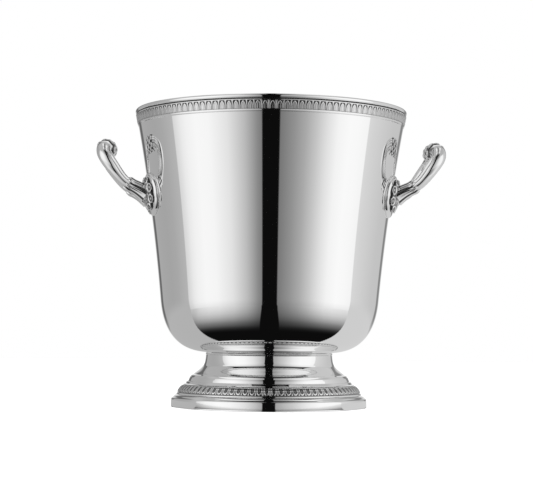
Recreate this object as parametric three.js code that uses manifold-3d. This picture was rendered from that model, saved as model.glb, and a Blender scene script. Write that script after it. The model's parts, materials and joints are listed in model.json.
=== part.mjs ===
// A footed champagne bucket in silver: a flared bowl on a hollow spun foot, struck leaf borders round
// the rim and the foot, and two cast loop handles that end in leaf sockets, rosettes and back plates.
// Millimetres, +Z up. The origin is the centre of the foot, on the surface that the bucket stands on.
// The handles lie along +X and -X, and the front faces -Y.

import * as THREE from "three";
import { mergeVertices } from "three/addons/utils/BufferGeometryUtils.js";
import Module from "manifold-3d";

const wasm = await Module();
wasm.setup();

// ---- Driving dimensions ----

const GAP = 0.3; // clearance between pieces that meet
const SKIN_GAP = 0.15; // clearance between a turned piece and the band laid on it
const TURNED_SIDES = 48; // facets round a turned piece

const SHEET = 1.2; // thickness of the spun sheet of bowl and foot

const BOWL_BOTTOM_Z = 40.3;
const BOWL_FLAT_RADIUS = 44.4;
const BELLY = new THREE.Vector2(81.5, 79); // where the round corner meets the flared wall
const MOUTH = new THREE.Vector2(101.02, 217.3); // outer top edge of the wall
const WALL_PULL = new THREE.Vector2(87.9, 148.1); // control point that gives the wall its flare

const RIM_BEAD_RADIUS = 1.65;
const RIM_BEAD_CENTRE = new THREE.Vector2(100.15, 219.3);
const RIM_FRIEZE_LOW_Z = 210.4;
const RIM_FRIEZE_HIGH_Z = 216.4;
const RIM_FRIEZE_THICKNESS = 0.6;
const RIM_FILLET_LOW_Z = 208.6;
const RIM_FILLET_THICKNESS = 0.5;
const RIM_LEAVES = 124;

const NECK_RADIUS = 47.2;
const FOOT_TOP_Z = 38.8;
const FOOT_FLANGE_RADIUS = 38; // hole left in the turned-in top of the foot
const BASE_RADIUS = 73;
const BASE_BORE = 66.2;
const FOOT_LEAVES = 83;
const LEAF_DEPTH = 0.35; // how deep the grooves between the struck leaves are

const ROOT_Z = 157; // height of the middle of each handle root
const ROOT_HALF_SPAN = THREE.MathUtils.degToRad(14.8); // from the handle's mid-plane to each root
const PLATE_RADIUS = 15;
const PLATE_THICKNESS = 2.5;
const ROSETTE_RADIUS = 13;
const ROSETTE_THICKNESS = 3.2;
const ROSETTE_PETALS = 8;
const HANDLE_SIDES = 8; // facets round the cast bar
const SOCKET_LENGTH = 0.158; // share of the handle's length that one leaf socket covers
const GRIP_COLLAR_LENGTH = 0.16; // as a share of the handle's length

// Centreline of the front half of the +X handle, from inside the root to the middle of the grip.
const HANDLE_HALF = [
  new THREE.Vector3(87.5, -22.4, 152.6),
  new THREE.Vector3(97.2, -23.3, 159.2),
  new THREE.Vector3(108.4, -25.4, 165.8),
  new THREE.Vector3(117.8, -27.8, 177.3),
  new THREE.Vector3(122.8, -25.6, 185),
  new THREE.Vector3(123.8, -18.8, 189.6),
  new THREE.Vector3(123, -9.8, 191.2),
  new THREE.Vector3(122.2, 0, 191.5),
];

// ---- Materials ----

const polishedSilver = { color: 0xdcdcdc, roughness: 0.07, metalness: 1 };
const struckSilver = { color: 0xb9b9b9, roughness: 0.24, metalness: 1 };
const castSilver = { color: 0xcfcfcf, roughness: 0.12, metalness: 1 };

// ---- Shape helpers ----

// A body of revolution about Z from a profile of (radius, height) points, outside upwards.
function turned(profile, sides = TURNED_SIDES) {
  return new THREE.LatheGeometry(profile, sides).rotateX(Math.PI / 2);
}

function points(...pairs) {
  return pairs.map(([radius, height]) => new THREE.Vector2(radius, height));
}

// The profile of a sheet whose outer side is the outline, which runs upwards.
function sheetProfile(outline, thickness) {
  const inner = outline.map((point, i) => {
    const before = outline[Math.max(i - 1, 0)];
    const after = outline[Math.min(i + 1, outline.length - 1)];
    const along = after.clone().sub(before).normalize();
    const inward = new THREE.Vector2(-along.y, along.x);
    return point.clone().addScaledVector(inward, thickness);
  });
  return [...outline, ...inner.reverse()];
}

function closed(profile) {
  return [...profile, profile[0].clone()];
}

// A turned band whose outer side has one groove after each leaf.
// The profile's first outerCount points are its outer side.
function leafBand(profile, outerCount, leaves) {
  const ring = closed(profile);
  const geometry = new THREE.LatheGeometry(ring, 2 * leaves);
  const position = geometry.attributes.position;
  for (let i = 0; i < position.count; i++) {
    const station = Math.floor(i / ring.length);
    const place = i % ring.length;
    const isOuter = place < outerCount || place === ring.length - 1;
    if (station % 2 === 0 || !isOuter) continue;
    const radius = Math.hypot(position.getX(i), position.getZ(i));
    const scale = (radius - LEAF_DEPTH) / radius;
    position.setX(i, position.getX(i) * scale);
    position.setZ(i, position.getZ(i) * scale);
  }
  return geometry.rotateX(Math.PI / 2);
}

// A round bar along a stretch of a curve, with a radius that changes along it.
function bar(curve, from, to, radiusAt, sides, steps) {
  const geometry = new THREE.CylinderGeometry(1, 1, 1, sides, steps);
  const position = geometry.attributes.position;
  const section = new THREE.Vector3();
  for (let i = 0; i < position.count; i++) {
    section.fromBufferAttribute(position, i);
    const share = section.y + 0.5;
    const place = THREE.MathUtils.lerp(from, to, share);
    const tangent = curve.getTangentAt(place);
    const across = new THREE.Vector3(Math.SQRT1_2, 0, -Math.SQRT1_2).projectOnPlane(tangent).normalize();
    const other = across.clone().cross(tangent);
    const radius = radiusAt(share);
    const target = curve
      .getPointAt(place)
      .addScaledVector(across, section.x * radius)
      .addScaledVector(other, section.z * radius);
    position.setXYZ(i, target.x, target.y, target.z);
  }
  return geometry;
}

function toSolid(geometry) {
  const bare = geometry.clone();
  bare.deleteAttribute("normal");
  bare.deleteAttribute("uv");
  const merged = mergeVertices(bare, 1e-3);
  const vertProperties = merged.attributes.position.array;
  const triVerts = new Uint32Array(merged.index.array);
  return new wasm.Manifold(new wasm.Mesh({ numProp: 3, vertProperties, triVerts }));
}

// The geometry less the tools.
function cut(geometry, ...tools) {
  const solid = tools.reduce((left, tool) => left.subtract(toSolid(tool)), toSolid(geometry));
  const mesh = solid.getMesh();
  const result = new THREE.BufferGeometry();
  result.setAttribute("position", new THREE.BufferAttribute(mesh.vertProperties, 3));
  result.setIndex(new THREE.BufferAttribute(mesh.triVerts, 1));
  result.computeVertexNormals();
  return result;
}

function piece(name, geometry, look) {
  const mesh = new THREE.Mesh(geometry, new THREE.MeshStandardMaterial(look));
  mesh.name = name;
  return mesh;
}

// ---- Bowl and rim ----

function bowlWall() {
  return new THREE.QuadraticBezierCurve(BELLY, WALL_PULL, MOUTH);
}

// Outer radius of the wall at a height above the belly. The curve's height is linear in its parameter.
function wallRadius(height) {
  const share = (height - BELLY.y) / (MOUTH.y - BELLY.y);
  return bowlWall().getPoint(share).x;
}

function bowlOutline() {
  const flatEdge = new THREE.Vector2(BOWL_FLAT_RADIUS, BOWL_BOTTOM_Z);
  const cornerOut = new THREE.Vector2(66.7, BOWL_BOTTOM_Z);
  const cornerUp = new THREE.Vector2(79.1, 53.3);
  const corner = new THREE.CubicBezierCurve(flatEdge, cornerOut, cornerUp, BELLY);
  return [
    new THREE.Vector2(0, BOWL_BOTTOM_Z),
    ...corner.getPoints(6),
    ...bowlWall().getPoints(3).slice(1),
  ];
}

function bowl() {
  return turned(sheetProfile(bowlOutline(), SHEET));
}

// A solid that fills the bowl and the clearance round it, for fitting pieces to the wall.
function bowlClearance() {
  const outline = bowlOutline().map((point) => new THREE.Vector2(point.x && point.x + GAP, point.y));
  return turned([...outline, new THREE.Vector2(0, MOUTH.y)]);
}

function rimBead() {
  const sides = 6;
  const ring = [];
  for (let i = 0; i <= sides; i++) {
    const angle = (2 * Math.PI * (i % sides)) / sides;
    const offset = new THREE.Vector2(Math.cos(angle), Math.sin(angle));
    ring.push(RIM_BEAD_CENTRE.clone().addScaledVector(offset, RIM_BEAD_RADIUS));
  }
  return turned(ring);
}

// A band on the bowl's wall between two heights.
function wallBand(low, high, thickness) {
  const inner = SKIN_GAP;
  const outer = SKIN_GAP + thickness;
  return points(
    [wallRadius(low) + outer, low],
    [wallRadius(high) + outer, high],
    [wallRadius(high) + inner, high],
    [wallRadius(low) + inner, low],
  );
}

function rimFrieze() {
  const band = wallBand(RIM_FRIEZE_LOW_Z, RIM_FRIEZE_HIGH_Z, RIM_FRIEZE_THICKNESS);
  return leafBand(band, 2, RIM_LEAVES);
}

function rimFillet() {
  const high = RIM_FRIEZE_LOW_Z - SKIN_GAP;
  return turned(closed(wallBand(RIM_FILLET_LOW_Z, high, RIM_FILLET_THICKNESS)));
}

// ---- Foot ----

function neckCollar() {
  const low = FOOT_TOP_Z + SKIN_GAP;
  const high = BOWL_BOTTOM_Z - SKIN_GAP;
  const middle = (low + high) / 2;
  return turned(
    closed(
      points([NECK_RADIUS, low], [NECK_RADIUS + 0.9, middle], [NECK_RADIUS, high], [44, high], [44, low]),
    ),
  );
}

// The spun pedestal: a cone under the leaf border, an ovolo, a hollow curve and a turned-in top.
function foot() {
  const conePoints = points([67.4, 9.1], [66.9, 10.9], [61.1, 17.4]);
  const ovolo = new THREE.QuadraticBezierCurve(
    new THREE.Vector2(61, 18.4),
    new THREE.Vector2(60.5, 21.3),
    new THREE.Vector2(57.7, 23.5),
  );
  const hollow = new THREE.CubicBezierCurve(
    new THREE.Vector2(57.7, 23.5),
    new THREE.Vector2(54, 26.7),
    new THREE.Vector2(47.4, 29.3),
    new THREE.Vector2(NECK_RADIUS, FOOT_TOP_Z),
  );
  const outline = [
    ...conePoints,
    ...ovolo.getPoints(2),
    ...hollow.getPoints(5).slice(1),
    new THREE.Vector2(FOOT_FLANGE_RADIUS, FOOT_TOP_Z),
  ];
  return turned(closed(sheetProfile(outline, SHEET)));
}

function footUpperFillet() {
  return turned(closed(points([62.05, 16.75], [63.5, 16.85], [62.9, 18], [61.4, 18.5], [61.4, 17.5])));
}

function footFrieze() {
  const outer = points([68.4, 10.85], [66.9, 13.8], [63.7, 16.55]);
  const inner = points([62.2, 16.55], [67.2, 10.85]);
  return leafBand([...outer, ...inner], outer.length, FOOT_LEAVES);
}

function footLowerFillet() {
  return turned(closed(points([67.65, 9.1], [68.9, 9.1], [69.1, 9.8], [68.7, 10.65], [67.25, 10.65])));
}

// The heavy moulded ring that the bucket stands on.
function baseRing() {
  return turned(
    closed(
      points(
        [BASE_BORE, 0],
        [BASE_RADIUS, 0],
        [BASE_RADIUS - 0.2, 4.9],
        [72.3, 6.2],
        [70.7, 7.7],
        [69.3, 8.8],
        [BASE_BORE, 8.4],
      ),
    ),
  );
}

// ---- Handles ----

const handleCurve = new THREE.CatmullRomCurve3([
  ...HANDLE_HALF,
  ...HANDLE_HALF.slice(0, -1)
    .reverse()
    .map((point) => new THREE.Vector3(point.x, -point.y, point.z)),
]);

// Radius of the cast bar, which swells from the roots to the grip.
function handleRadius(share) {
  const fromEnd = Math.min(share, 1 - share);
  const stations = [
    [0, 4],
    [0.17, 4.2],
    [0.3, 5.3],
    [0.4, 5.7],
    [0.5, 5.8],
  ];
  const next = stations.findIndex(([place]) => place >= fromEnd);
  if (next <= 0) return stations[0][1];
  const [placeA, radiusA] = stations[next - 1];
  const [placeB, radiusB] = stations[next];
  return THREE.MathUtils.mapLinear(fromEnd, placeA, placeB, radiusA, radiusB);
}

function handleBar(extra) {
  return bar(handleCurve, 0, 1, (share) => handleRadius(share) + extra, HANDLE_SIDES, 24);
}

// Stands a piece turned about its own +Z on the wall at a handle root. hand is -1 in front, +1 behind.
function onRoot(geometry, hand) {
  const azimuth = hand * ROOT_HALF_SPAN;
  const radius = wallRadius(ROOT_Z);
  const lean = Math.atan2(wallRadius(ROOT_Z + 1) - wallRadius(ROOT_Z - 1), 2);
  return geometry
    .rotateY(Math.PI / 2 + lean)
    .translate(radius, 0, ROOT_Z)
    .rotateZ(azimuth);
}

function backPlate(hand) {
  const disc = points(
    [0, -PLATE_THICKNESS],
    [PLATE_RADIUS, -PLATE_THICKNESS],
    [PLATE_RADIUS, 1],
    [PLATE_RADIUS - 1.6, PLATE_THICKNESS],
    [0, PLATE_THICKNESS],
  );
  return cut(onRoot(turned(disc, 20), hand), bowlClearance());
}

// Outline of the rosette's face, from the rim to the middle, raised by a clearance.
function rosetteFace(raise) {
  const base = PLATE_THICKNESS + GAP;
  return points(
    [ROSETTE_RADIUS + raise, base + 1 + raise],
    [ROSETTE_RADIUS - 3, base + 0.75 * ROSETTE_THICKNESS + raise],
    [0, base + ROSETTE_THICKNESS + raise],
  );
}

function rosette(hand) {
  const base = PLATE_THICKNESS + GAP;
  const profile = [...points([0, base], [ROSETTE_RADIUS - 1, base]), ...rosetteFace(0)];
  const geometry = new THREE.LatheGeometry(profile, 2 * ROSETTE_PETALS);
  const position = geometry.attributes.position;
  const petalNotch = 0.9;
  for (let i = 0; i < position.count; i++) {
    const station = Math.floor(i / profile.length);
    if (station % 2 === 0) continue;
    position.setX(i, position.getX(i) * petalNotch);
    position.setZ(i, position.getZ(i) * petalNotch);
  }
  return cut(onRoot(geometry.rotateX(Math.PI / 2), hand), handleBar(GAP));
}

// Everything at a root below a face, for trimming the pieces that stand on it.
function rootColumn(face, hand) {
  const width = PLATE_RADIUS + 5;
  const depth = -15;
  const profile = [...points([0, depth], [width, depth], [width, face[0].y]), ...face];
  return onRoot(turned(profile, 2 * ROSETTE_PETALS), hand);
}

function leafSocket(hand) {
  const lipRadius = 5.2;
  const rootRadius = 8.4;
  const flare = 1.8;
  const radiusAt = (share) => THREE.MathUtils.lerp(rootRadius, lipRadius, 1 - (1 - share) ** flare);
  const start = 0.035;
  const front = bar(handleCurve, start, SOCKET_LENGTH, radiusAt, 10, 3);
  const sleeve = hand < 0 ? front : front.scale(1, -1, 1);
  if (hand > 0) sleeve.index.array.reverse();
  return cut(sleeve, handleBar(GAP), rootColumn(rosetteFace(GAP), hand));
}

function gripCollar() {
  const from = 0.5 - GRIP_COLLAR_LENGTH / 2;
  const to = 0.5 + GRIP_COLLAR_LENGTH / 2;
  const radiusAt = (share) => 6.8 + 0.6 * Math.sin(Math.PI * share);
  return cut(bar(handleCurve, from, to, radiusAt, 10, 4), handleBar(GAP));
}

function handle() {
  const plateFace = points([PLATE_RADIUS + 1, PLATE_THICKNESS + GAP], [0, PLATE_THICKNESS + GAP]);
  return cut(handleBar(0), rootColumn(plateFace, -1), rootColumn(plateFace, 1));
}

// One handle with its trim, on the +X side.
function handleGroup(side, nearName, farName) {
  const group = new THREE.Group();
  group.add(piece(`handle_${side}`, handle(), castSilver));
  group.add(piece(`grip_collar_${side}`, gripCollar(), struckSilver));
  for (const [hand, place] of [
    [-1, nearName],
    [1, farName],
  ]) {
    group.add(piece(`leaf_socket_${side}_${place}`, leafSocket(hand), struckSilver));
    group.add(piece(`rosette_${side}_${place}`, rosette(hand), struckSilver));
    group.add(piece(`back_plate_${side}_${place}`, backPlate(hand), castSilver));
  }
  return group;
}

// ---- Assembly ----

const bucket = new THREE.Group();

bucket.add(
  piece("bowl", bowl(), polishedSilver),
  piece("rim_bead", rimBead(), polishedSilver),
  piece("rim_frieze", rimFrieze(), struckSilver),
  piece("rim_fillet", rimFillet(), polishedSilver),
  piece("neck_collar", neckCollar(), polishedSilver),
  piece("foot", foot(), polishedSilver),
  piece("foot_upper_fillet", footUpperFillet(), polishedSilver),
  piece("foot_frieze", footFrieze(), struckSilver),
  piece("foot_lower_fillet", footLowerFillet(), polishedSilver),
  piece("base_ring", baseRing(), polishedSilver),
);

const rightHandle = handleGroup("right", "front", "back");
const leftHandle = handleGroup("left", "back", "front");
leftHandle.rotation.z = Math.PI;
bucket.add(rightHandle, leftHandle);

export default bucket;
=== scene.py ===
"""A silver champagne bucket in a white studio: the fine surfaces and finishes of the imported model.

Every piece stands for one CAD node. Outlines are written in millimetres, as (radius, height) or as
points, and MM turns them into Blender's metres.
"""

import json
import math

import bmesh
import bpy
import numpy as np
from mathutils import Matrix, Vector


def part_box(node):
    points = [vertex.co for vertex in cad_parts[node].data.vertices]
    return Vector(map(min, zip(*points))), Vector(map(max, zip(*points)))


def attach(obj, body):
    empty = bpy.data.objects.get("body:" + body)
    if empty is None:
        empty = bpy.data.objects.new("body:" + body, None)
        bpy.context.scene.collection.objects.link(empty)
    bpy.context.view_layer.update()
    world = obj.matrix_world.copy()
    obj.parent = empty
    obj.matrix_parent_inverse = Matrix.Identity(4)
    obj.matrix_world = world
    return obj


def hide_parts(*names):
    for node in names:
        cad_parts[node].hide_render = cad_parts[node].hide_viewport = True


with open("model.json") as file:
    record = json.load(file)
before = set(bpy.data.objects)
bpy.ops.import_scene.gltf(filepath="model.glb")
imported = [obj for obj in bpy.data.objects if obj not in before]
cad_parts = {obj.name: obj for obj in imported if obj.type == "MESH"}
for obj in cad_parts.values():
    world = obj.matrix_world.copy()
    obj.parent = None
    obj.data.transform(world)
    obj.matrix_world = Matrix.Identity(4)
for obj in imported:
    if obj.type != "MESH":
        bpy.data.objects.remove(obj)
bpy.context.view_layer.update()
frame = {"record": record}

MM = 0.001


def box_mm(node):
    """Lowest and highest corner of a CAD node in millimetres."""
    return [np.array(corner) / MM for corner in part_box(node)]


# ---- Sizes from the frame ----

BOWL_LOW, BOWL_HIGH = box_mm("bowl")
BEAD_LOW, BEAD_HIGH = box_mm("rim_bead")
FRIEZE_LOW, FRIEZE_HIGH = box_mm("rim_frieze")
FILLET_LOW, FILLET_HIGH = box_mm("rim_fillet")
COLLAR_LOW, COLLAR_HIGH = box_mm("neck_collar")
FOOT_LOW, FOOT_HIGH = box_mm("foot")
BASE_LOW, _ = box_mm("base_ring")

SHEET = 1.2  # thickness of the spun sheet
GAP = 0.3  # clearance between pieces that meet
TURNED_SIDES = 384  # facets round a turned piece

BOWL_FLAT_RADIUS = 44.4
BELLY = (81.5, 79)  # where the round corner meets the flared wall
MOUTH = (BOWL_HIGH[0], BOWL_HIGH[2])
WALL_PULL = (87.9, 148.1)  # control point that gives the wall its flare

RIM_LEAVES = 124
FOOT_LEAVES = 83
RELIEF = 0.2  # depth of the struck borders
NECK_RADIUS = 47.2

ROOT_Z = 157  # height of the middle of each handle root
ROOT_HALF_SPAN = math.radians(14.8)  # from the handle's mid-plane to each root
PLATE_RADIUS = 15
PLATE_THICKNESS = 2.5
ROSETTE_RADIUS = 13
ROSETTE_PETALS = 8
ROSETTE_RELIEF = 0.9

# Where the bar starts and where its sleeves run, as shares of the centreline's length.
HANDLE_START = 0.03
SOCKET_SPAN = (0.035, 0.152)
GRIP_COLLAR_SPAN = (0.42, 0.58)
SLEEVE_LEAVES = 7
SOCKET_NOTCH = 0.2  # how far back the notches between the tips go, as a share of the socket

# Centreline of the front half of the +X handle, from inside the root to the middle of the grip.
HANDLE_HALF = (
    (87.5, -22.4, 152.6),
    (97.2, -23.3, 159.2),
    (108.4, -25.4, 165.8),
    (117.8, -27.8, 177.3),
    (122.8, -25.6, 185),
    (123.8, -18.8, 189.6),
    (123, -9.8, 191.2),
    (122.2, 0, 191.5),
)


# ---- Curves ----

CORNER_SHARE = 0.45  # the most that a rounded corner takes of the sides that meet there
CORNER_STEPS = 4
PATH_STEPS = 40  # fine steps between two points of a smooth path


def quadratic(start, pull, end, steps):
    t = np.linspace(0, 1, steps + 1)[:, None]
    start, pull, end = map(np.array, (start, pull, end))
    return start * (1 - t) ** 2 + 2 * pull * t * (1 - t) + end * t**2


def cubic(start, pull_a, pull_b, end, steps):
    t = np.linspace(0, 1, steps + 1)[:, None]
    start, pull_a, pull_b, end = map(np.array, (start, pull_a, pull_b, end))
    return (
        start * (1 - t) ** 3
        + 3 * pull_a * t * (1 - t) ** 2
        + 3 * pull_b * t**2 * (1 - t)
        + end * t**3
    )


def rounded_corner(before, corner, after, radius):
    """A corner rounded off over that distance, or over less where its sides are short."""
    ends = []
    for neighbour in (before, after):
        side = neighbour - corner
        length = np.linalg.norm(side)
        ends.append(corner + side / length * min(radius, length * CORNER_SHARE))
    return quadratic(ends[0], corner, ends[1], CORNER_STEPS)


def softened(outline, radius):
    """A closed outline with rounded corners."""
    outline = np.array(outline, float)
    corners = zip(np.roll(outline, 1, axis=0), outline, np.roll(outline, -1, axis=0))
    return np.vstack([rounded_corner(*corner, radius) for corner in corners])


def smooth_turns(line, radius):
    """An open line with rounded inner corners."""
    line = np.array(line, float)
    corners = zip(line, line[1:], line[2:])
    turns = [rounded_corner(*corner, radius) for corner in corners]
    return np.vstack([line[:1], *turns, line[-1:]])


def eased(x, stations):
    """Value at x on a smooth line through (place, value) stations."""
    places, values = np.array(stations, float).T
    x = np.asarray(x, float)
    step = np.clip(np.searchsorted(places, x, side="right") - 1, 0, len(places) - 2)
    t = np.clip((x - places[step]) / (places[step + 1] - places[step]), 0, 1)
    t = t * t * (3 - 2 * t)
    return values[step] * (1 - t) + values[step + 1] * t


def smooth_path(points, count):
    """That many evenly spaced points on a centripetal Catmull-Rom curve through the points."""
    points = np.array(points, float)
    first, last = 2 * points[0] - points[1], 2 * points[-1] - points[-2]
    knots = np.vstack([first, points, last])
    fine = []
    for a, b, c, d in zip(knots, knots[1:], knots[2:], knots[3:]):
        t0 = 0.0
        t1 = t0 + np.linalg.norm(b - a) ** 0.5
        t2 = t1 + np.linalg.norm(c - b) ** 0.5
        t3 = t2 + np.linalg.norm(d - c) ** 0.5
        t = np.linspace(t1, t2, PATH_STEPS)[:, None]
        ab = (t1 - t) / (t1 - t0) * a + (t - t0) / (t1 - t0) * b
        bc = (t2 - t) / (t2 - t1) * b + (t - t1) / (t2 - t1) * c
        cd = (t3 - t) / (t3 - t2) * c + (t - t2) / (t3 - t2) * d
        abc = (t2 - t) / (t2 - t0) * ab + (t - t0) / (t2 - t0) * bc
        bcd = (t3 - t) / (t3 - t1) * bc + (t - t1) / (t3 - t1) * cd
        fine.append((t2 - t) / (t2 - t1) * abc + (t - t1) / (t2 - t1) * bcd)
    fine = np.vstack(fine)
    along = np.concatenate([[0], np.cumsum(np.linalg.norm(np.diff(fine, axis=0), axis=1))])
    places = np.linspace(0, along[-1], count)
    return np.stack([np.interp(places, along, fine[:, k]) for k in range(3)], axis=1)


# ---- Meshes ----

WELD = 1e-7  # metres within which points become one


def grid_mesh(name, rows, recess=None, mirrored=False):
    """A closed smooth mesh from rows of points, in millimetres, that wrap round both ways.

    recess, of the same rows and columns, is kept on the vertices for the finish to read."""
    rows = np.array(rows, float)
    if mirrored:
        rows = rows * (-1, 1, 1)
    height, width = rows.shape[:2]
    index = np.arange(height * width).reshape(height, width)
    right = np.roll(index, -1, axis=1)
    quads = np.stack(
        [index, right, np.roll(right, -1, axis=0), np.roll(index, -1, axis=0)], axis=-1
    )
    mesh = bpy.data.meshes.new(name)
    mesh.from_pydata((rows.reshape(-1, 3) * MM).tolist(), [], quads.reshape(-1, 4).tolist())
    # recess is the mask by which the struck finish paints hollows dark, partly as tarnish and partly as
    # painted shade.
    if recess is not None:
        mesh.attributes.new("recess", "FLOAT", "POINT").data.foreach_set("value", np.ravel(recess))
    work = bmesh.new()
    work.from_mesh(mesh)
    bmesh.ops.remove_doubles(work, verts=work.verts, dist=WELD)
    bmesh.ops.recalc_face_normals(work, faces=work.faces)
    work.to_mesh(mesh)
    work.free()
    mesh.shade_smooth()
    return mesh


def turned(name, outline):
    """A body of revolution about Z. Its outline is closed, or starts and ends on the axis."""
    outline = np.array(outline, float)
    angle = np.linspace(0, 2 * np.pi, TURNED_SIDES, endpoint=False)
    radius, height = outline[:, :1], outline[:, 1:]
    rows = np.stack(
        [radius * np.cos(angle), radius * np.sin(angle), height + 0 * angle], axis=-1
    )
    return grid_mesh(name, rows)


def sheet_outline(outline):
    """The closed outline of a sheet whose outer side is the outline, which runs upwards."""
    outline = np.array(outline, float)
    along = np.gradient(outline, axis=0)
    along /= np.linalg.norm(along, axis=1)[:, None]
    inner = outline + SHEET * np.stack([-along[:, 1], along[:, 0]], axis=1)
    return np.vstack([outline, inner[::-1]])


# ---- Struck leaves ----

LEAF_COLUMNS = 22
# Widths are shares of the pitch, and reaches are shares of the way from a leaf's middle to its edge.
LEAF_HALF_WIDTH = 0.37
LEAF_TIP = 0.95  # as a share of the border's height
RIM_REACH = 0.86
RIB_WIDTH, RIB_HEIGHT = 0.05, 0.25
DART_WIDTH, DART_HEIGHT = 0.05, 0.95
GROUND_REACH, GROUND_HEIGHT = 1.35, 0.75
BANK = 0.3  # reach over which the field and the ground rise
SILL_END = 0.08  # as a share of the border's height


def bump_at(x, middle, width):
    """1 at the middle, falling off smoothly to both sides."""
    return np.exp(-(((x - middle) / width) ** 2))


def leaf_relief(across, along, shoulder=0.35, arch=1.6, field=0.5, sill=0.6, rim_width=0.11):
    """Height, from 0 to 1, of a struck leaf with a raised rim, and of half a dart at each side.

    across goes from -0.5 to 0.5 over the pitch, and along from the leaf's foot, 0, to its tip, 1.
    The sides run straight up to the shoulder, and arch is 1 for a pointed tip and 2 for a round one.
    field is the height inside the leaf, sill is how far everything sinks at the leaf's foot, and
    rim_width is a share of the leaf's reach."""
    side = np.abs(across)
    above = np.clip((along - shoulder) / (LEAF_TIP - shoulder), 0, None)
    reach = ((side / LEAF_HALF_WIDTH) ** arch + above**arch) ** (1 / arch)
    inside = field * np.clip((1 - reach) / BANK, 0, 1) ** 0.5
    rib = RIB_HEIGHT * bump_at(side, 0, RIB_WIDTH) * np.clip(1 - reach, 0, 1)
    rim = bump_at(reach, RIM_REACH, rim_width)
    dart = DART_HEIGHT * bump_at(side, 0.5, DART_WIDTH * (1 + above))
    ground = GROUND_HEIGHT * np.clip((reach - GROUND_REACH) / BANK, 0, 1)
    height = np.maximum.reduce([inside + rib, rim, dart, ground])
    return np.clip(height, 0, 1) * (1 - sill * np.clip(1 - along / SILL_END, 0, 1))


def leaf_ring(name, lead, front, trail, back, leaves, upright, **leaf_shape):
    """A band that is plain, then struck with leaves, then plain, closed by its back outline.

    The lead, front and trail outlines run upwards on from each other."""
    columns = leaves * LEAF_COLUMNS
    outline = np.vstack([lead, front, trail])
    angle = np.linspace(0, 2 * np.pi, columns, endpoint=False)
    across = (np.arange(columns) % LEAF_COLUMNS) / LEAF_COLUMNS - 0.5
    along = np.linspace(0, 1, len(front))
    if not upright:
        along = 1 - along
    struck = leaf_relief(across[None, :], along[:, None], **leaf_shape)
    plain = np.ones((1, columns))
    relief = np.vstack([plain] * len(lead) + [struck] + [plain] * len(trail))
    direction = np.gradient(outline, axis=0)
    direction /= np.linalg.norm(direction, axis=1)[:, None]
    outward = np.stack([direction[:, 1], -direction[:, 0]], axis=1)
    radius = outline[:, :1] + outward[:, :1] * (relief - 1) * RELIEF
    height = outline[:, 1:] + outward[:, 1:] * (relief - 1) * RELIEF
    back = np.array(back, float)
    radius = np.vstack([radius, back[::-1, :1] + 0 * across])
    height = np.vstack([height, back[::-1, 1:] + 0 * across])
    recess = np.vstack([1 - relief, np.ones((len(back), columns))])
    rows = np.stack([radius * np.cos(angle), radius * np.sin(angle), height], axis=-1)
    return grid_mesh(name, rows, recess)


# ---- Bowl and rim ----

ON_AXIS = 1e-3  # a point this near to the axis is moved onto it


def wall_radius(height):
    """Outer radius of the bowl's wall. The curve's height is linear in its parameter."""
    t = (np.asarray(height, float) - BELLY[1]) / (MOUTH[1] - BELLY[1])
    return BELLY[0] * (1 - t) ** 2 + 2 * WALL_PULL[0] * t * (1 - t) + MOUTH[0] * t**2


def wall_slope(height):
    return wall_radius(np.asarray(height) + 0.5) - wall_radius(np.asarray(height) - 0.5)


def bowl_mesh(name):
    bottom = BOWL_LOW[2]
    flat = [(0, bottom), (BOWL_FLAT_RADIUS * 0.5, bottom)]
    corner = cubic((BOWL_FLAT_RADIUS, bottom), (66.7, bottom), (79.1, 53.3), BELLY, 64)
    wall = quadratic(BELLY, WALL_PULL, MOUTH, 48)[1:]
    outline = sheet_outline(np.vstack([flat, corner, wall]))
    outline[outline[:, 0] < ON_AXIS, 0] = 0
    return turned(name, outline)


def rim_bead_mesh(name):
    """A round wire through the corners of the CAD's six-sided one."""
    radius = (BEAD_HIGH[2] - BEAD_LOW[2]) / math.sqrt(3)
    middle = (BEAD_HIGH[0] - radius, (BEAD_HIGH[2] + BEAD_LOW[2]) / 2)
    angle = np.linspace(0, 2 * np.pi, 32, endpoint=False)
    return turned(name, np.stack([np.cos(angle), np.sin(angle)], axis=1) * radius + middle)


def wall_line(low, high, raise_by, steps):
    """Points up the wall between two heights, moved outwards."""
    height = np.linspace(low, high, steps + 1)
    return np.stack([wall_radius(height) + raise_by, height], axis=1)


def rim_frieze_mesh(name):
    """Upright leaves with a plain rounded lip over them, and a groove between the lip and the bead."""
    low, high = FRIEZE_LOW[2], FRIEZE_HIGH[2]
    top = 0.55
    leaves = wall_line(low, high, top, 24)
    low_edge = wall_line(low - 0.05, low - 0.05, top - 0.25, 1)[:1]
    curl = quadratic((top, high + 0.05), (top + 0.15, high + 0.5), (0.25, high + 0.75), 4)
    lip_line = np.stack([wall_radius(curl[:, 1]) + curl[:, 0], curl[:, 1]], axis=1)
    groove = wall_line(high + 1.4, high + 0.8, 0.15, 1)
    back = np.vstack([wall_line(low - 0.05, high + 1.35, 0.05, 1), groove])
    return leaf_ring(name, low_edge, leaves, lip_line, back, RIM_LEAVES, True)


def rim_fillet_mesh(name):
    low, high = FILLET_LOW[2], FILLET_HIGH[2]
    crown = quadratic((0.03, low), (0.75, (low + high) / 2), (0.3, high), 12)
    front = np.stack([wall_radius(crown[:, 1]) + crown[:, 0], crown[:, 1]], axis=1)
    back = wall_line(low, high, 0.05, 1)
    return turned(name, np.vstack([front, back[::-1]]))


# ---- Foot ----

MOULDING_SOFTNESS = 0.16  # how far the mouldings' corners are rounded off


def neck_collar_mesh(name):
    low, high = COLLAR_LOW[2], COLLAR_HIGH[2]
    swell = (NECK_RADIUS + 0.4, (low + high) / 2)
    bulge = quadratic((NECK_RADIUS, low), swell, (NECK_RADIUS, high), 10)
    return turned(name, np.vstack([bulge, [(44, high), (44, low)]]))


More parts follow.
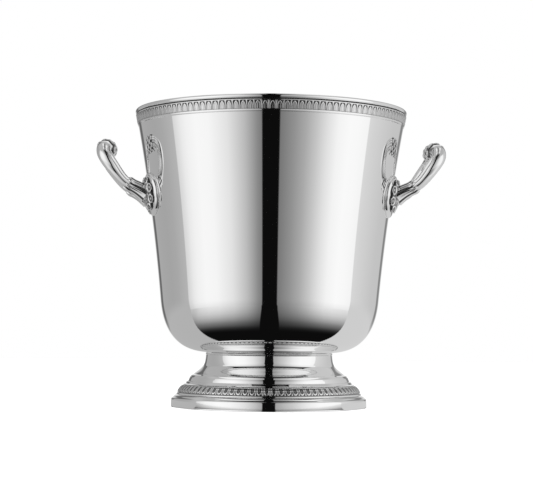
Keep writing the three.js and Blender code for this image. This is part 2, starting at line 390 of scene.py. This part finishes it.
def foot_mesh(name):
    """The spun pedestal: cone under the leaf border, stepped ovolo, flare, neck and turned-in top."""
    cone = [(67.4, FOOT_LOW[2]), (66.9, 10.9), (61.1, 17.4)]
    ovolo = [(60.43, 18.71), (59.67, 20.75), (59.15, 21.94), (57.99, 23.48), (56.54, 24.13)]
    waist, top = (49.18, 30.55), FOOT_HIGH[2]
    flare = cubic((56.16, 24.44), (54.14, 26.34), (51.21, 27.98), waist, 24)
    neck = cubic(waist, (48.04, 32.56), (47.27, 35.08), (NECK_RADIUS, top), 24)
    flange = [(46, top + 0.02), (38, top + 0.02)]
    moulding = smooth_turns(np.vstack([cone[-1:], ovolo, flare[:1]]), MOULDING_SOFTNESS)
    outline = np.vstack([cone[:-1], moulding, flare[1:], neck[1:], flange])
    return turned(name, sheet_outline(outline))


def foot_upper_fillet_mesh(name):
    outer = [(64.08, 16.75), (62.37, 17.31), (61.4, 18.92)]
    inner = [(60.4, 19.1), (61.3, 18), (61.35, 16.75)]
    return turned(name, softened(outer + inner, MOULDING_SOFTNESS))


def foot_frieze_mesh(name):
    """Hanging leaves between two plain edges."""
    front = quadratic((68.35, 11.15), (67.2, 14.4), (64.3, 16.05), 22)
    low_edge = [(67.9, 10.85)]
    high_edge = [(64.15, 16.12), (63.7, 16.45), (63.3, 16.6)]
    back = [(67.2, 10.85), (62.2, 16.55)]
    shape = {"shoulder": 0.5, "arch": 2, "field": 0.1, "sill": 0, "rim_width": 0.2}
    return leaf_ring(name, low_edge, front, high_edge, back, FOOT_LEAVES, False, **shape)


def foot_lower_fillet_mesh(name):
    outline = [(67.65, 9.2), (68.9, 9.2), (69.0, 9.8), (68.6, 10.65), (67.25, 10.65)]
    return turned(name, softened(outline, 0.35))


def base_ring_mesh(name):
    """The moulding that the bucket stands on: upright face, small step and sloping shoulder."""
    ground, bore = BASE_LOW[2], 66.2
    face_low, face_high, step_high = (73, 0.19), (72.87, 5.9), (70.9, 7.9)
    foot_edge = quadratic((72.51, ground), (73.2, ground), face_low, 8)
    face = quadratic(face_low, (72.94, 2.8), face_high, 8)[1:-1]
    step = cubic(face_high, (72.7, 6.9), (71.9, 6.9), step_high, 16)
    shoulder = quadratic(step_high, (70.2, 8.6), (69.2, 9.1), 8)[1:]
    outline = [[(bore, ground)], foot_edge, face, step, shoulder, [(bore, 8.4)]]
    return turned(name, np.vstack(outline))


# ---- Handles ----

SIDES = {"right": 1, "left": -1}
HANDS = {"front": -1, "back": 1}
PATH_POINTS = 600
SLEEVE_ROWS, SLEEVE_LEAF_COLUMNS = 48, 20
SLEEVE_CLEARANCE, THINNEST_SLEEVE = 0.05, 0.1
DISC_COLUMNS = 144
PETAL_COLUMNS = 22
SIDEWAYS_RELIEF = 0.6  # how much of a disc's relief goes outwards at its edge

handle_path = smooth_path(
    HANDLE_HALF + tuple((x, -y, z) for x, y, z in HANDLE_HALF[-2::-1]), PATH_POINTS
)


def path_frame(places):
    """Points of the handle's centreline at those shares of its length, and two directions across it."""
    stations = np.linspace(0, 1, PATH_POINTS)
    tangents = np.gradient(handle_path, axis=0)

    def at(values):
        return np.stack([np.interp(places, stations, values[:, k]) for k in range(3)], axis=-1)

    tangent = at(tangents)
    tangent /= np.linalg.norm(tangent, axis=-1, keepdims=True)
    across = np.array([math.sqrt(0.5), 0, -math.sqrt(0.5)])
    across = across - (tangent @ across)[..., None] * tangent
    across /= np.linalg.norm(across, axis=-1, keepdims=True)
    return at(handle_path), across, np.cross(tangent, across)


def along_handle(places, radius, angle):
    """Points at a distance and an angle round the centreline, from arrays of rows and columns."""
    middle, across, other = path_frame(places)
    cosine, sine = np.cos(angle)[..., None], np.sin(angle)[..., None]
    return middle + radius[..., None] * (cosine * across + sine * other)


def bar_radius(share):
    """Radius of the cast bar, which swells from the roots to the grip."""
    from_end = np.minimum(share, 1 - share)
    return eased(from_end, ((0, 4), (0.12, 4.1), (0.3, 5.3), (0.42, 5.7), (0.5, 5.8)))


def handle_mesh(name, side):
    steps, columns = 200, 40
    first, last = HANDLE_START, 1 - HANDLE_START
    share = np.concatenate([[first], np.linspace(first, last, steps), [last]])
    angle = np.linspace(0, 2 * np.pi, columns, endpoint=False)
    places = share[:, None] + 0 * angle
    radius = bar_radius(places)
    radius[[0, -1]] = 0
    return grid_mesh(name, along_handle(places, radius, angle + 0 * places), mirrored=SIDES[side] < 0)


def sleeve_mesh(name, side, hand, span, outer, notch=0.0):
    """A shell round the bar whose leaves' tips reach further than the notches between them.

    outer gives its radius and its recess from shares of the length and places across a leaf."""
    columns = SLEEVE_LEAVES * SLEEVE_LEAF_COLUMNS
    share = np.linspace(0, 1, SLEEVE_ROWS)[:, None]
    across = ((np.arange(columns) % SLEEVE_LEAF_COLUMNS) / SLEEVE_LEAF_COLUMNS - 0.5)[None, :]
    angle = np.linspace(0, 2 * np.pi, columns, endpoint=False)[None, :] + 0 * share
    start, end = span
    places = start + (end - start) * share * (1 - notch * share**2 * (2 * np.abs(across)) ** 2)
    radius, recess = outer(share, across)
    inner = bar_radius(places) + SLEEVE_CLEARANCE
    places = np.vstack([places, places[::-1]])
    radius = np.vstack([np.maximum(radius, inner + THINNEST_SLEEVE), inner[::-1]])
    recess = np.vstack([recess, np.ones_like(recess)])
    angle = np.vstack([angle, angle[::-1]])
    rows = along_handle(places, radius, angle)
    if HANDS[hand] > 0:
        rows = rows * (1, -1, 1)
    return grid_mesh(name, rows, recess, mirrored=SIDES[side] < 0)


def leaf_socket_mesh(name, side, hand):
    """Long leaves laid along the bar, with deep grooves between them and curled tips."""
    radius, flare = 4.45, 1.9
    strap_height, vein_depth, curl_height = 0.75, 0.2, 0.45
    vein_width, vein_darkness = 0.16, 0.7
    curl_place, curl_width, tip_start = 0.86, 0.09, 0.93
    groove_start, groove_width = 0.55, 0.22

    def outer(share, across):
        edge = 2 * np.abs(across)
        strap = np.sqrt(np.clip(1 - edge**2, 0, 1))
        vein = bump_at(edge, 0, vein_width) * np.clip(share * 4, 0, 1)
        curl = bump_at(share, curl_place, curl_width)
        fall = 1 - np.clip((share - tip_start) / (1 - tip_start), 0, 1) ** 2
        lift = (strap_height * strap - vein_depth * vein + curl_height * curl * strap) * fall
        # The recess: the grooves between the leaves and the dented veins, which the struck finish
        # paints dark, partly as tarnish and partly as painted shade.
        groove = np.clip((edge - groove_start) / groove_width, 0, 1) + vein_darkness * vein
        return radius + flare * (1 - share) ** 1.7 + lift, np.clip(groove, 0, 1)

    return sleeve_mesh(name, side, hand, SOCKET_SPAN, outer, SOCKET_NOTCH)


def grip_collar_mesh(name, side):
    """Staggered leaf buds round the middle of the grip."""
    radius, swell = 5.85, 0.35
    bud_rows = ((0, 0.1), (0.5, 0.3), (0, 0.5), (0.5, 0.7), (0, 0.9))
    bud_width, bud_length, bud_height = 0.4, 0.12, 1.1

    def outer(share, across):
        buds = 0 * share * across
        for column, place in bud_rows:
            sideways = np.minimum(np.abs(across - column), np.abs(across + column))
            bud = 1 - (sideways / bud_width) ** 2 - ((share - place) / bud_length) ** 2
            buds = np.maximum(buds, np.sqrt(np.clip(bud, 0, 1)))
        from_middle = np.abs(2 * share - 1)
        base = radius + swell * np.sqrt(np.clip(1 - from_middle**4, 0, 1))
        # The recess round the buds, which the struck finish paints dark, partly as tarnish and partly
        # as painted shade.
        return base + bud_height * buds, np.clip(1.15 - 1.3 * buds, 0, 1)

    return sleeve_mesh(name, side, "front", GRIP_COLLAR_SPAN, outer)


def on_wall(hand, across, up, height):
    """Points over the bowl's wall beside a +X handle root, across and up from its middle."""
    z = ROOT_Z + up
    radius, slope = wall_radius(z), wall_slope(z)
    azimuth = HANDS[hand] * ROOT_HALF_SPAN + across / radius
    steep = np.sqrt(1 + slope**2)
    out = radius + height / steep
    return np.stack(
        [out * np.cos(azimuth), out * np.sin(azimuth), z - slope * height / steep], axis=-1
    )


def wall_disc(name, side, hand, profile, shape, relief=None, depth=0.0, columns=DISC_COLUMNS):
    """A disc that follows the wall.

    profile is (distance from the middle, height) pairs, from the middle over the top to the edge and
    back below. shape gives the disc's reach by angle. relief gives a height, from 0 to 1, by the share
    of the way along the profile to the edge and by angle."""
    profile = np.array(profile, float)
    angle = np.linspace(0, 2 * np.pi, columns, endpoint=False)
    distance = profile[:, :1] * shape(angle)
    height = profile[:, 1:] + 0 * angle
    recess = np.ones_like(height)
    if relief is not None:
        share = (np.arange(len(profile)) / np.argmax(profile[:, 0]))[:, None]
        raised = relief(share, angle) * (share <= 1)
        height = height + depth * raised * (1 - SIDEWAYS_RELIEF * np.clip(share, 0, 1) ** 2)
        distance = distance + SIDEWAYS_RELIEF * depth * raised * share
        recess = 1 - raised
    rows = on_wall(hand, distance * np.sin(angle), distance * np.cos(angle), height)
    return grid_mesh(name, rows, recess, mirrored=SIDES[side] < 0)


def back_plate_mesh(name, side, hand):
    top = PLATE_THICKNESS
    crown = cubic((8, top), (12.5, top + 1.2), (PLATE_RADIUS, top), (PLATE_RADIUS, GAP), 20)
    profile = np.vstack([[(0, top)], crown, [(0, GAP)]])

    def shape(angle):
        toe = np.clip(-np.cos(angle), 0, 1) ** 8
        return 1 + 0.1 * toe

    return wall_disc(name, side, hand, profile, shape)


def rosette_mesh(name, side, hand):
    """Petals with raised rims, and a bead in each, round a raised middle."""
    base = PLATE_THICKNESS + GAP
    edge = ROSETTE_RADIUS - 0.5
    middle_share, petal_share = 0.35, 0.6
    high, low = base + 1.8, base + 0.2
    top = cubic((0, high), (8, high + 1), (edge, high + 0.7), (edge, low), 44)
    profile = np.vstack([top, [(edge - 0.6, base), (0, base)]])

    def petal_place(angle):
        return (angle * ROSETTE_PETALS / (2 * np.pi)) % 1 - 0.5

    def shape(angle):
        return 1 - 0.12 * (2 * np.abs(petal_place(angle))) ** 3

    def relief(share, angle):
        along = (share - middle_share) / petal_share
        reach = np.hypot(petal_place(angle) / 0.46, (along - 0.5) / 0.5)
        rim = bump_at(reach, 0.8, 0.17)
        bead = 0.6 * bump_at(reach, 0, 0.3)
        return np.clip(rim + bead + 0.5 * (along < 0), 0, 1)

    columns = ROSETTE_PETALS * PETAL_COLUMNS
    return wall_disc(name, side, hand, profile, shape, relief, ROSETTE_RELIEF, columns)


# ---- Finishes ----


class Finish:
    """A node material with a Principled shader and short ways to add nodes."""

    def __init__(self, name):
        self.material = bpy.data.materials.new(name)
        self.material.use_nodes = True
        self.nodes = self.material.node_tree.nodes
        self.links = self.material.node_tree.links
        self.shader = self.nodes["Principled BSDF"]

    def add(self, kind, links=None, **values):
        node = self.nodes.new(kind)
        for key, value in values.items():
            if hasattr(node, key):
                setattr(node, key, value)
            else:
                node.inputs[key].default_value = value
        for key, source in (links or {}).items():
            self.links.new(source, node.inputs[key])
        return node

    def noise(self, scale, detail, stretch=(1, 1, 1)):
        """Noise in the object's own space, in features per metre, stretched along its axes."""
        place = self.add("ShaderNodeTexCoord")
        mapping = self.add("ShaderNodeMapping", {"Vector": place.outputs["Object"]}, Scale=stretch)
        noise = self.add(
            "ShaderNodeTexNoise", {"Vector": mapping.outputs["Vector"]}, Scale=scale, Detail=detail
        )
        return noise.outputs["Fac"]

    def ranged(self, source, low, high, start=0, end=1):
        node = self.add("ShaderNodeMapRange", {"Value": source})
        node.inputs["From Min"].default_value = start
        node.inputs["From Max"].default_value = end
        node.inputs["To Min"].default_value = low
        node.inputs["To Max"].default_value = high
        return node.outputs["Result"]

    def mixed(self, share, first, second):
        node = self.add("ShaderNodeMix", {"Factor": share}, data_type="RGBA")
        node.inputs["A"].default_value = (*first, 1)
        node.inputs["B"].default_value = (*second, 1)
        return node.outputs["Result"]

    def bump(self, source, strength, distance, normal=None):
        node = self.add("ShaderNodeBump", {"Height": source}, Strength=strength, Distance=distance)
        if normal is not None:
            self.links.new(normal, node.inputs["Normal"])
        return node.outputs["Normal"]

    def drive(self, socket, source):
        self.links.new(source, self.shader.inputs[socket])


def slot_color(slot):
    return next(m["base_color"] for m in frame["record"]["materials"] if m["slot"] == slot)


def shaded(color, share):
    return tuple(channel * share for channel in color)


def polished_silver():
    """Mirror plate: fine lathe lines, faint wipe marks and a slightly uneven polish."""
    finish = Finish("polished_silver")
    color = slot_color("polished_silver")
    finish.shader.inputs["Metallic"].default_value = 1
    clouds = finish.noise(scale=18, detail=3)
    finish.drive("Base Color", finish.mixed(clouds, color, shaded(color, 0.975)))
    wipes = finish.noise(scale=60, detail=4, stretch=(1, 1, 0.35))
    finish.drive("Roughness", finish.ranged(wipes, low=0.015, high=0.04))
    lathe_lines = finish.noise(scale=1, detail=2, stretch=(40, 40, 5200))
    finish.drive("Normal", finish.bump(lathe_lines, strength=0.01, distance=0.00005))
    return finish.material


def cast_silver():
    """Cast and hand-polished plate: a soft unevenness under the polish, and fine scratches."""
    finish = Finish("cast_silver")
    color = slot_color("cast_silver")
    finish.shader.inputs["Metallic"].default_value = 1
    clouds = finish.noise(scale=90, detail=3)
    finish.drive("Base Color", finish.mixed(clouds, color, shaded(color, 0.94)))
    polish = finish.noise(scale=260, detail=4)
    finish.drive("Roughness", finish.ranged(polish, low=0.03, high=0.08))
    waves = finish.bump(finish.noise(scale=130, detail=1), strength=0.15, distance=0.0004)
    scratches = finish.noise(scale=2600, detail=3)
    finish.drive("Normal", finish.bump(scratches, strength=0.04, distance=0.0001, normal=waves))
    return finish.material


def struck_silver():
    """Struck relief: heights painted a little brighter than the plate, and recesses duller and painted
    dark, partly as tarnish and partly as painted shade.
    """
    finish = Finish("struck_silver")
    color = slot_color("struck_silver")
    finish.shader.inputs["Metallic"].default_value = 1
    recess = finish.add("ShaderNodeAttribute", attribute_name="recess").outputs["Fac"]
    speckle = finish.noise(scale=700, detail=3)
    patchy = finish.ranged(speckle, low=0.8, high=1.2)
    tarnish_and_shade = finish.add("ShaderNodeMath", {0: recess, 1: patchy}, operation="MULTIPLY")
    tarnish_and_shade = finish.ranged(tarnish_and_shade.outputs["Value"], low=0, high=1, start=0.25, end=0.95)
    # Base colour: a painted highlight on the heights, and tarnish plus painted shade darkening the
    # recesses towards near black.
    finish.drive("Base Color", finish.mixed(tarnish_and_shade, shaded(color, 1.08), shaded(color, 0.1)))
    finish.drive("Roughness", finish.ranged(tarnish_and_shade, low=0.04, high=0.3))
    finish.drive("Normal", finish.bump(speckle, strength=0.05, distance=0.00005))
    return finish.material


FINISHES = {
    "polished_silver": polished_silver(),
    "cast_silver": cast_silver(),
    "struck_silver": struck_silver(),
}


# ---- Assembly ----


def add_piece(node, make, slot, *where):
    """Makes the fine piece that stands for a CAD node."""
    mesh = make(node, *where)
    mesh.materials.append(FINISHES[slot])
    piece = bpy.data.objects.new("silver_" + node, mesh)
    bpy.context.scene.collection.objects.link(piece)
    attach(piece, "root")
    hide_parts(node)
    return piece


add_piece("bowl", bowl_mesh, "polished_silver")
add_piece("rim_bead", rim_bead_mesh, "polished_silver")
add_piece("rim_frieze", rim_frieze_mesh, "struck_silver")
add_piece("rim_fillet", rim_fillet_mesh, "polished_silver")
add_piece("neck_collar", neck_collar_mesh, "polished_silver")
add_piece("foot", foot_mesh, "polished_silver")
add_piece("foot_upper_fillet", foot_upper_fillet_mesh, "polished_silver")
add_piece("foot_frieze", foot_frieze_mesh, "struck_silver")
add_piece("foot_lower_fillet", foot_lower_fillet_mesh, "polished_silver")
add_piece("base_ring", base_ring_mesh, "polished_silver")

for side in SIDES:
    add_piece(f"handle_{side}", handle_mesh, "cast_silver", side)
    add_piece(f"grip_collar_{side}", grip_collar_mesh, "struck_silver", side)
    for hand in HANDS:
        add_piece(f"leaf_socket_{side}_{hand}", leaf_socket_mesh, "struck_silver", side, hand)
        add_piece(f"rosette_{side}_{hand}", rosette_mesh, "struck_silver", side, hand)
        add_piece(f"back_plate_{side}_{hand}", back_plate_mesh, "cast_silver", side, hand)


# ---- Studio ----

CAMERA_AZIMUTH = math.radians(-2)  # the left handle is a little nearer

# Brightness of the studio by azimuth, in degrees from the front and positive towards +X.
# The softboxes are brighter near the gap at eye level than low down.
LEVEL_GLOW = (
    (-93, 0.72), (-88, 0.82), (-84, 0.9), (-78, 0.98), (-60, 1.05), (-45, 1.0), (-35, 0.9),
    (-28, 0.81), (-22, 0.7), (-18, 0.62), (-14, 0.54), (-9, 0.42), (9, 0.4), (14, 0.46), (18, 0.52),
    (22, 0.57), (28, 0.64), (35, 0.75), (45, 0.9), (60, 1.03), (80, 1.03), (93, 0.98),
)
LOW_GLOW = (
    (-93, 0.68), (-88, 0.76), (-84, 0.86), (-78, 0.93), (-68, 1.0), (-55, 0.98), (-38, 0.82),
    (-23, 0.54), (-12, 0.28), (-7, 0.2), (7, 0.19), (12, 0.235), (20, 0.31), (30, 0.43), (40, 0.6),
    (50, 0.8), (60, 0.96), (72, 1.03), (84, 1.0), (93, 0.96),
)
SURROUND_GLOW = (
    (-180, 0.95), (-170, 0.8), (-164, 0.5), (-160, 0.14), (-152, 0.14), (-149, 0.42), (-138, 0.41),
    (-120, 0.4), (-108, 0.42), (-93, 0.49), (93, 0.74), (100, 0.7), (115, 0.64), (130, 0.59),
    (149, 0.57), (152, 0.24), (160, 0.24), (164, 0.6), (170, 0.85), (180, 0.95),
)
# How the softboxes' light falls off, by elevation in degrees.
SOFTBOX_FADE = (
    (-16, 0.85), (-13, 0.93), (-10, 1.0), (33, 1.0), (40, 0.86), (47, 0.68), (53, 0.52), (58, 0.35),
    (62, 0.15), (65, 0.0),
)
# Painted shadow of the bucket on the table's glow: how the lit table darkens towards the bucket, by
# millimetres from its middle.
TABLE_SHADOW_FADE = (
    (109, 0.0), (118, 0.008), (127, 0.035), (140, 0.12), (155, 0.21), (173, 0.35), (198, 0.5),
    (232, 0.64), (278, 0.75), (346, 0.85),
)
TABLE_RADIUS = 346
TABLE_EDGE = -41  # the lit table ends at this y, and behind it is grey card
TABLE_TURN = 0.85  # a place on the table mirrors the softbox that stands this much less to the side
# The ceiling card, by its share of the way to one side, and by degrees over the top from the front.
CARD_GLOW = (
    (-0.36, 0.0), (-0.29, 0.0), (-0.26, 1.0), (-0.2, 1.0), (-0.136, 0.8), (-0.088, 0.61),
    (-0.057, 0.46), (-0.036, 0.42), (-0.03, 0.0), (0.03, 0.0), (0.036, 0.36), (0.057, 0.4),
    (0.088, 0.46), (0.136, 0.59), (0.17, 0.72), (0.208, 0.86), (0.256, 1.0), (0.315, 0.98), (0.34, 0.0),
)
CARD_RISE = (
    (67, 0.0), (72, 0.25), (78, 0.55), (84, 0.95), (90, 1.0), (96, 0.95), (99, 0.7), (102, 0.7),
    (105, 1.0),
)
# Elevations between which one light passes into another, in degrees.
LOW_TO_LEVEL = (-10, -3)
LEVEL_TO_LOW = (28, 46)
WALL_TO_LOW = (5, 13)  # downwards
WALL_TO_CEILING = (32, 40)

CARD_START, CARD_END = 66, 125  # degrees over the top
CARD_SLOT = 0.033  # half the width of the card's dark slot, as a share of the way to one side
CEILING = 0.5
DARK = 0.004
# Edges of the softboxes, in degrees.
GAP_HALF = 7.2
GAP_BLUR = 0.5
SOFTBOX_END = 92.7
SOFTBOX_BLUR = 0.4
LOW_LEFT, LOW_RIGHT = 0.475, 0.66  # light from low down at the sides
LOW_BLEND = 0.35  # sine of the angle from straight behind over which they blend

TABLE_GAP = ((140, 8.0), (200, 7.4), (280, 6.9))  # half the gap in degrees, by millimetres
TABLE_GAP_BLUR = 0.9
TABLE_HOLE = 60  # radius of the part under the foot that is left out
TABLE_LEVEL = -0.0006  # metres
TABLE_GRID = (72, 1441)
DOME_RADIUS = 4.0  # metres
DOME_HEIGHT = 0.1
DOME_GRID = (181, 721)


def smooth_step(x, low, high):
    t = np.clip((x - low) / (high - low), 0, 1)
    return t * t * (3 - 2 * t)


def stops(x, pairs):
    places, values = np.array(pairs, float).T
    return np.interp(x, places, values)


def low_glow(turn):
    """Light from low down beside and behind the bucket, blended across the back."""
    return LOW_LEFT + (LOW_RIGHT - LOW_LEFT) * smooth_step(np.sin(turn), -LOW_BLEND, LOW_BLEND)


def softbox_glow(azimuth, elevation):
    """Two tall softboxes in front with a dark gap between them, fading upwards and downwards."""
    sideways = np.abs(np.sin(np.radians(azimuth))) * np.cos(np.radians(elevation))
    open_share = smooth_step(np.degrees(np.arcsin(sideways)), GAP_HALF, GAP_HALF + GAP_BLUR)
    level = smooth_step(elevation, *LOW_TO_LEVEL) * (1 - smooth_step(elevation, *LEVEL_TO_LOW))
    glow = stops(azimuth, LOW_GLOW) * (1 - level) + stops(azimuth, LEVEL_GLOW) * level
    return DARK + glow * open_share * stops(elevation, SOFTBOX_FADE)


def surround_glow(azimuth, elevation):
    """Grey card at the sides, white paper behind between dark edges, and a paler floor."""
    sink = smooth_step(-elevation, *WALL_TO_LOW)
    rise = smooth_step(elevation, *WALL_TO_CEILING)
    wall = stops(azimuth, SURROUND_GLOW) * (1 - sink) + low_glow(np.radians(azimuth)) * sink
    return wall * (1 - rise) + CEILING * rise


def studio_glow(azimuth, elevation):
    """Brightness of the studio in a direction from the bucket."""
    beyond = smooth_step(np.abs(azimuth), SOFTBOX_END - SOFTBOX_BLUR, SOFTBOX_END + SOFTBOX_BLUR)
    room = softbox_glow(azimuth, elevation) * (1 - beyond) + surround_glow(azimuth, elevation) * beyond
    turn, rise = np.radians(azimuth), np.radians(elevation)
    sideways = np.cos(rise) * np.sin(turn)
    over = np.degrees(np.arctan2(np.sin(rise) + 0 * turn, np.cos(rise) * np.cos(turn)))
    above = (over > CARD_START) & (over < CARD_END) & (elevation > WALL_TO_CEILING[1])
    inside = (sideways > CARD_GLOW[0][0]) & (sideways < CARD_GLOW[-1][0])
    card = DARK + stops(sideways, CARD_GLOW) * stops(over, CARD_RISE)
    on_card = above & inside & (stops(sideways, CARD_GLOW) > 0)
    in_slot = above & (np.abs(sideways) < CARD_SLOT)
    return np.where(above, np.where(on_card | in_slot, card, CEILING), room)


def glowing(name):
    """Light from the vertices' own glow."""
    material = bpy.data.materials.new(name)
    material.use_nodes = True
    material.cycles.emission_sampling = "NONE"
    nodes, links = material.node_tree.nodes, material.node_tree.links
    nodes.clear()
    glow = nodes.new("ShaderNodeAttribute")
    glow.attribute_name = "glow"
    light = nodes.new("ShaderNodeEmission")
    output = nodes.new("ShaderNodeOutputMaterial")
    links.new(glow.outputs["Color"], light.inputs["Color"])
    links.new(light.outputs["Emission"], output.inputs["Surface"])
    return material


def add_glow(name, rows, glow):
    """A sheet of rows of points, in metres, that lights the bucket but that the camera doesn't see."""
    height, width = rows.shape[:2]
    index = np.arange(height * width).reshape(height, width)
    quads = np.stack([index[:-1, :-1], index[:-1, 1:], index[1:, 1:], index[1:, :-1]], axis=-1)
    mesh = bpy.data.meshes.new(name)
    mesh.from_pydata(rows.reshape(-1, 3).tolist(), [], quads.reshape(-1, 4).tolist())
    colors = np.repeat(glow.ravel()[:, None], 4, axis=1)
    mesh.attributes.new("glow", "FLOAT_COLOR", "POINT").data.foreach_set("color", colors.ravel())
    mesh.materials.append(glowing(name))
    sheet = bpy.data.objects.new(name, mesh)
    bpy.context.scene.collection.objects.link(sheet)
    sheet.rotation_euler.z = CAMERA_AZIMUTH
    sheet.visible_camera = False
    sheet.visible_shadow = False


def studio_table():
    """The table top round the bucket, as the bucket mirrors it, with the bucket's shadow painted into
    its glow.
    """
    rows, columns = TABLE_GRID
    turn = np.radians(np.linspace(-180, 180, columns))[None, :]
    reach = np.linspace(TABLE_HOLE, TABLE_RADIUS, rows)[:, None]
    x, y = reach * np.sin(turn), -reach * np.cos(turn)
    azimuth = np.degrees(turn) / TABLE_TURN
    side = np.abs(np.degrees(turn))
    gap = stops(reach, TABLE_GAP)
    open_share = smooth_step(side, gap, gap + TABLE_GAP_BLUR)
    # The table's glow, with the bucket's shadow painted in as it darkens towards the middle.
    front = DARK + stops(azimuth, LOW_GLOW) * open_share * stops(reach, TABLE_SHADOW_FADE)
    glow = np.where(y < TABLE_EDGE, front, low_glow(turn))
    points = np.stack([x * MM, y * MM, 0 * x + TABLE_LEVEL], axis=-1)
    add_glow("studio_table", points, glow)


def studio_dome():
    """A wide dome all round, which the bucket mirrors."""
    rows, columns = DOME_GRID
    azimuth = np.linspace(-180, 180, columns)[None, :]
    elevation = np.linspace(-90, 90, rows)[:, None]
    turn, rise = np.radians(azimuth), np.radians(elevation)
    points = DOME_RADIUS * np.stack(
        [np.cos(rise) * np.sin(turn), -np.cos(rise) * np.cos(turn), np.sin(rise) + 0 * turn], axis=-1
    )
    points[..., 2] += DOME_HEIGHT
    add_glow("studio_dome", points, studio_glow(azimuth, elevation))


studio_dome()
studio_table()

FLOOR_RADIUS = 1.5  # metres
FLOOR_LEVEL = -0.0003
FLOOR_PAINT = (0.9, 0.9, 0.9, 1)
FLOOR_GLOW = 0.86
WHITE = (1, 1, 1, 1)


def floor():
    """The pale floor that the camera sees."""
    finish = Finish("studio_floor")
    finish.shader.inputs["Base Color"].default_value = FLOOR_PAINT
    finish.shader.inputs["Roughness"].default_value = 0.9
    finish.shader.inputs["Specular IOR Level"].default_value = 0
    finish.shader.inputs["Emission Color"].default_value = WHITE
    finish.shader.inputs["Emission Strength"].default_value = FLOOR_GLOW
    grain = finish.noise(scale=900, detail=3)
    finish.drive("Normal", finish.bump(grain, strength=0.05, distance=0.0002))
    bpy.ops.mesh.primitive_circle_add(
        vertices=96, radius=FLOOR_RADIUS, fill_type="NGON", location=(0, 0, FLOOR_LEVEL)
    )
    disc = bpy.context.object
    disc.name = "studio_floor"
    disc.data.materials.append(finish.material)
    disc.visible_glossy = False
    disc.visible_shadow = False


def white_world():
    """The plain white that the camera sees behind the bucket."""
    world = bpy.data.worlds.new("white_studio")
    bpy.context.scene.world = world
    world.use_nodes = True
    world.node_tree.nodes["Background"].inputs["Color"].default_value = WHITE
    world.node_tree.nodes["Background"].inputs["Strength"].default_value = 1.0
    bpy.context.scene.view_settings.view_transform = "Standard"


floor()
white_world()

# ---- Camera ----

CAMERA_DISTANCE = 1.205
CAMERA_HEIGHT = 0.062
CAMERA_PITCH = math.radians(2.69)
CAMERA_YAW = math.radians(0.126)
CAMERA_ROLL = math.radians(0.5)
SENSOR_WIDTH = 36  # millimetres
LENS = 108.6

camera = bpy.data.objects.new("camera", bpy.data.cameras.new("camera"))
bpy.context.scene.collection.objects.link(camera)
camera.data.sensor_width = SENSOR_WIDTH
camera.data.lens = LENS
camera.matrix_world = (
    Matrix.Rotation(CAMERA_AZIMUTH, 4, "Z")
    @ Matrix.Translation(Vector((0, -CAMERA_DISTANCE, CAMERA_HEIGHT)))
    @ Matrix.Rotation(CAMERA_YAW, 4, "Z")
    @ Matrix.Rotation(math.pi / 2 + CAMERA_PITCH, 4, "X")
    @ Matrix.Rotation(CAMERA_ROLL, 4, "Z")
)
bpy.context.scene.camera = camera
